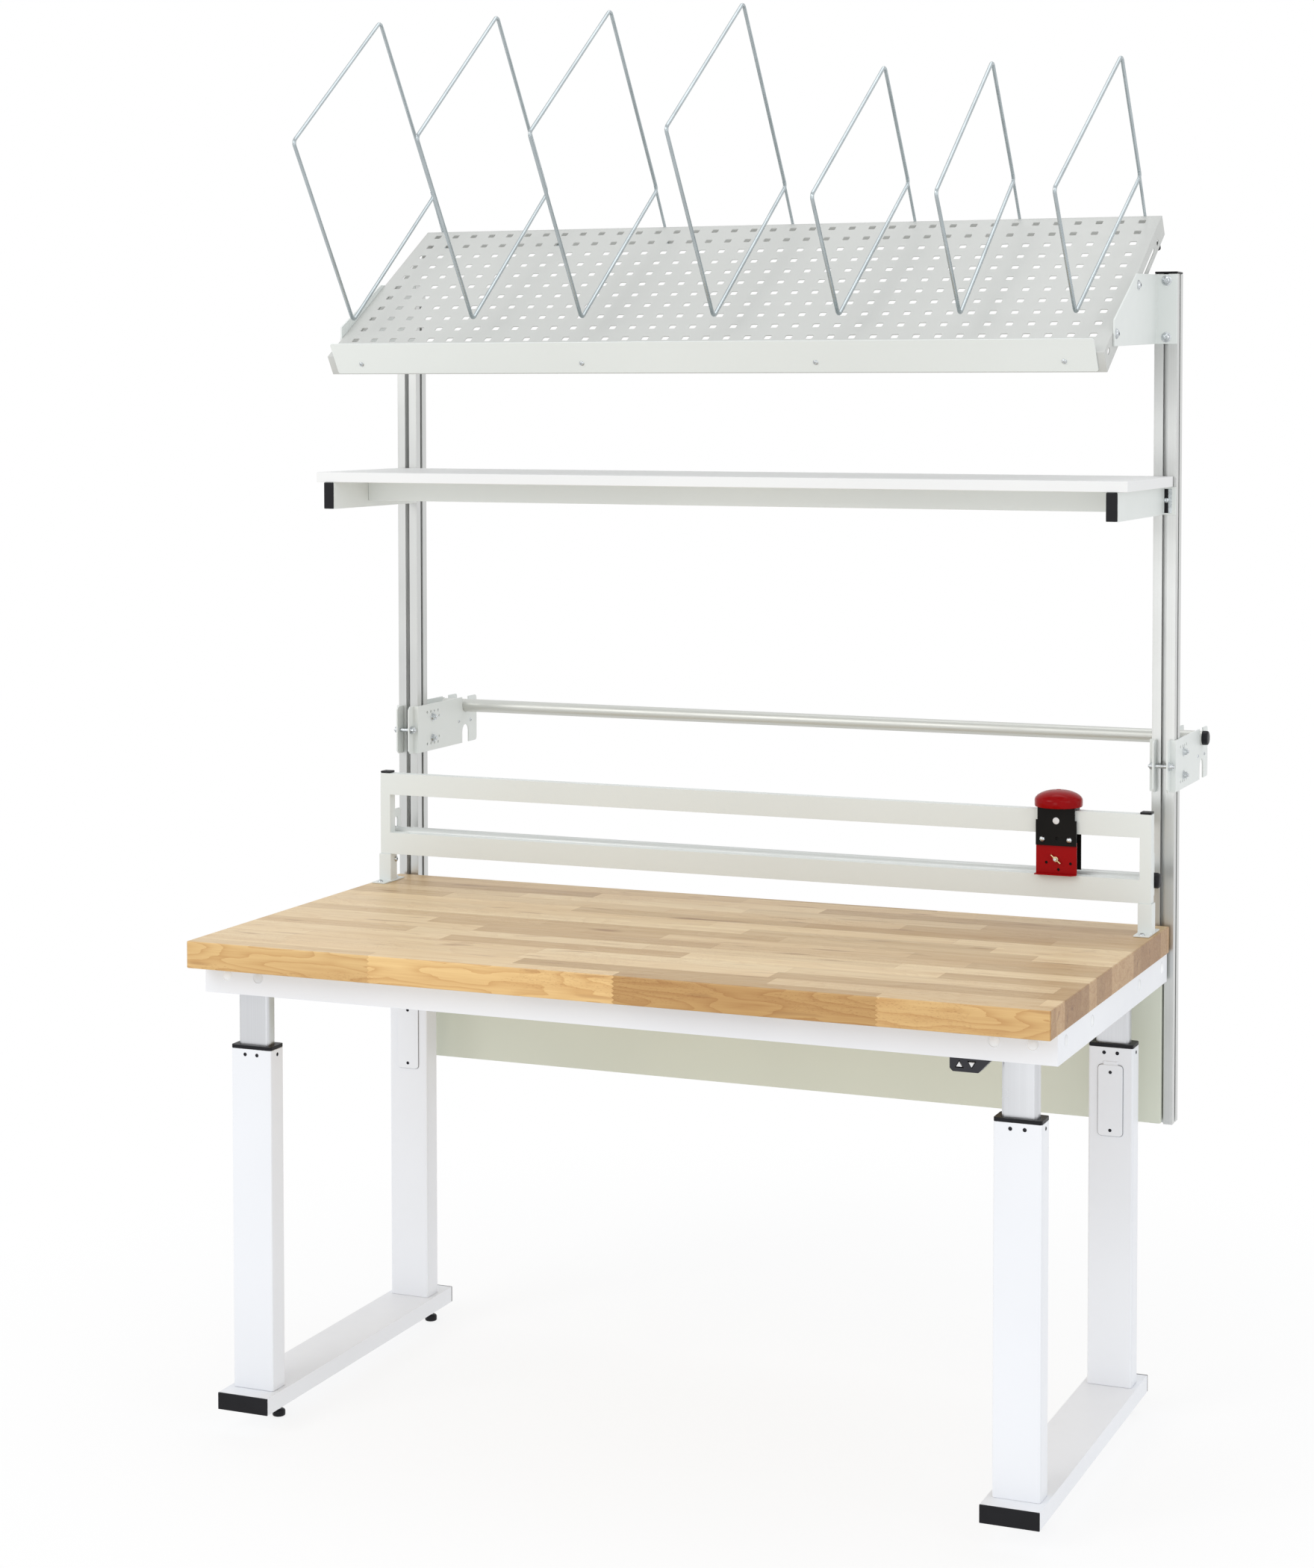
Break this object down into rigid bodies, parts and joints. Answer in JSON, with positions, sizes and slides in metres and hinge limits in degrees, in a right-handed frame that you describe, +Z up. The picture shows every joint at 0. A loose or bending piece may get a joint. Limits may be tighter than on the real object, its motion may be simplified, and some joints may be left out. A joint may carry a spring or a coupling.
{
  "type": "packing table",
  "caption": "Height-adjustable packing table: block worktop on telescopic legs, uprights with a divided sloped shelf, a flat shelf, a roll holder and a sliding cutter.",
  "frame": {"origin": "on the floor, at the middle of the table's overall width and depth", "axes": "+Z up, +X to the right and -Y to the front, seen by the person who works there"},
  "size_m": [1.5356, 1.003, 2.4405],
  "materials": {
    "white_paint": "semi-gloss cool white powder coat",
    "grey_paint": "semi-gloss light grey powder coat",
    "sheet_paint": "semi-gloss grey powder coat",
    "panel_paint": "satin greenish light grey powder coat",
    "black_plastic": "fine-grained black plastic",
    "aluminium": "satin clear anodised",
    "roll_tube_aluminium": "satin",
    "rod_aluminium": "satin",
    "zinc": "bright zinc plated",
    "beech": "oiled, block glued",
    "laminate": "light grey laminate on chipboard",
    "black_steel": "black, semi-gloss",
    "red_gloss": "high gloss red",
    "red_paint": "gloss red powder coat",
    "white_plastic": "white"
  },
  "bodies": {
    "base": {"runner_left": "white_paint", "runner_cap_front_left": "black_plastic", "leg_front_left": "white_paint", "bush_front_left": "black_plastic", "runner_cap_rear_left": "black_plastic", "leg_rear_left": "white_paint", "bush_rear_left": "black_plastic", "runner_right": "white_paint", "runner_cap_front_right": "black_plastic", "leg_front_right": "white_paint", "bush_front_right": "black_plastic", "runner_cap_rear_right": "black_plastic", "leg_rear_right": "white_paint", "bush_rear_right": "black_plastic"},
    "foot_front_left": {"foot_front_left": "black_plastic"},
    "foot_front_right": {"foot_front_right": "black_plastic"},
    "foot_rear_left": {"foot_rear_left": "black_plastic"},
    "foot_rear_right": {"foot_rear_right": "black_plastic"},
    "top": {"column_front_left": "aluminium", "column_rear_left": "aluminium", "upright_left": "aluminium", "upright_cap_left": "black_plastic", "shelf_bracket_left": "grey_paint", "shelf_arm_left": "grey_paint", "roll_plate_inner_left": "grey_paint", "roll_plate_outer_left": "grey_paint", "post_foot_left": "grey_paint", "column_front_right": "aluminium", "column_rear_right": "aluminium", "upright_right": "aluminium", "upright_cap_right": "black_plastic", "shelf_bracket_right": "grey_paint", "shelf_arm_right": "grey_paint", "roll_plate_inner_right": "grey_paint", "roll_plate_outer_right": "grey_paint", "post_foot_right": "grey_paint", "top_frame": "white_paint", "worktop": "beech", "modesty_panel": "panel_paint", "perforated_shelf": "sheet_paint", "shelf_lip": "grey_paint", "laminate_shelf": "laminate", "crossbar": "grey_paint", "cutting_frame": "grey_paint", "switch_housing": "black_plastic", "divider_1": "zinc", "divider_2": "zinc", "divider_3": "zinc", "divider_4": "zinc", "divider_5": "zinc", "divider_6": "zinc", "divider_7": "zinc"},
    "cutter": {"cutter_body": "black_steel", "cutter_dome": "red_gloss", "cutter_guard": "red_paint"},
    "wing_nut": {"wing_nut": "zinc"},
    "roll_tube": {"roll_tube": "roll_tube_aluminium"},
    "hold_down_rod": {"hold_down_rod": "rod_aluminium"},
    "button_up": {"button_up": "white_plastic"},
    "button_down": {"button_down": "white_plastic"}
  },
  "joints": [
    {"name": "foot_front_left_screw", "type": "slide", "parent": "base", "child": "foot_front_left", "axis": [0, 0, 1], "range_m": [-0.008, 0.012]},
    {"name": "foot_front_right_screw", "type": "slide", "parent": "base", "child": "foot_front_right", "axis": [0, 0, 1], "range_m": [-0.008, 0.012]},
    {"name": "foot_rear_left_screw", "type": "slide", "parent": "base", "child": "foot_rear_left", "axis": [0, 0, 1], "range_m": [-0.008, 0.012]},
    {"name": "foot_rear_right_screw", "type": "slide", "parent": "base", "child": "foot_rear_right", "axis": [0, 0, 1], "range_m": [-0.008, 0.012]},
    {"name": "lift", "type": "slide", "parent": "base", "child": "top", "axis": [0, 0, 1], "range_m": [-0.085, 0.35]},
    {"name": "cutter_slide", "type": "slide", "parent": "top", "child": "cutter", "axis": [1, 0, 0], "range_m": [-1.255, 0.105]},
    {"name": "wing_nut_turn", "type": "hinge", "parent": "cutter", "child": "wing_nut", "pos_m": [0.575, 0.1522, 0.966], "axis": [0, 1, 0], "continuous": true},
    {"name": "roll_tube_turn", "type": "hinge", "parent": "top", "child": "roll_tube", "pos_m": [0, 0.4535, 1.15], "axis": [1, 0, 0], "continuous": true},
    {"name": "rod_lift", "type": "slide", "parent": "top", "child": "hold_down_rod", "axis": [0, 0, 1], "range_m": [0, 0.025]},
    {"name": "button_up_press", "type": "slide", "parent": "top", "child": "button_up", "axis": [0, 1, 0], "range_m": [0, 0.001], "stiffness_N_per_m": 300},
    {"name": "button_down_press", "type": "slide", "parent": "top", "child": "button_down", "axis": [0, 1, 0], "range_m": [0, 0.001], "stiffness_N_per_m": 300}
  ]
}
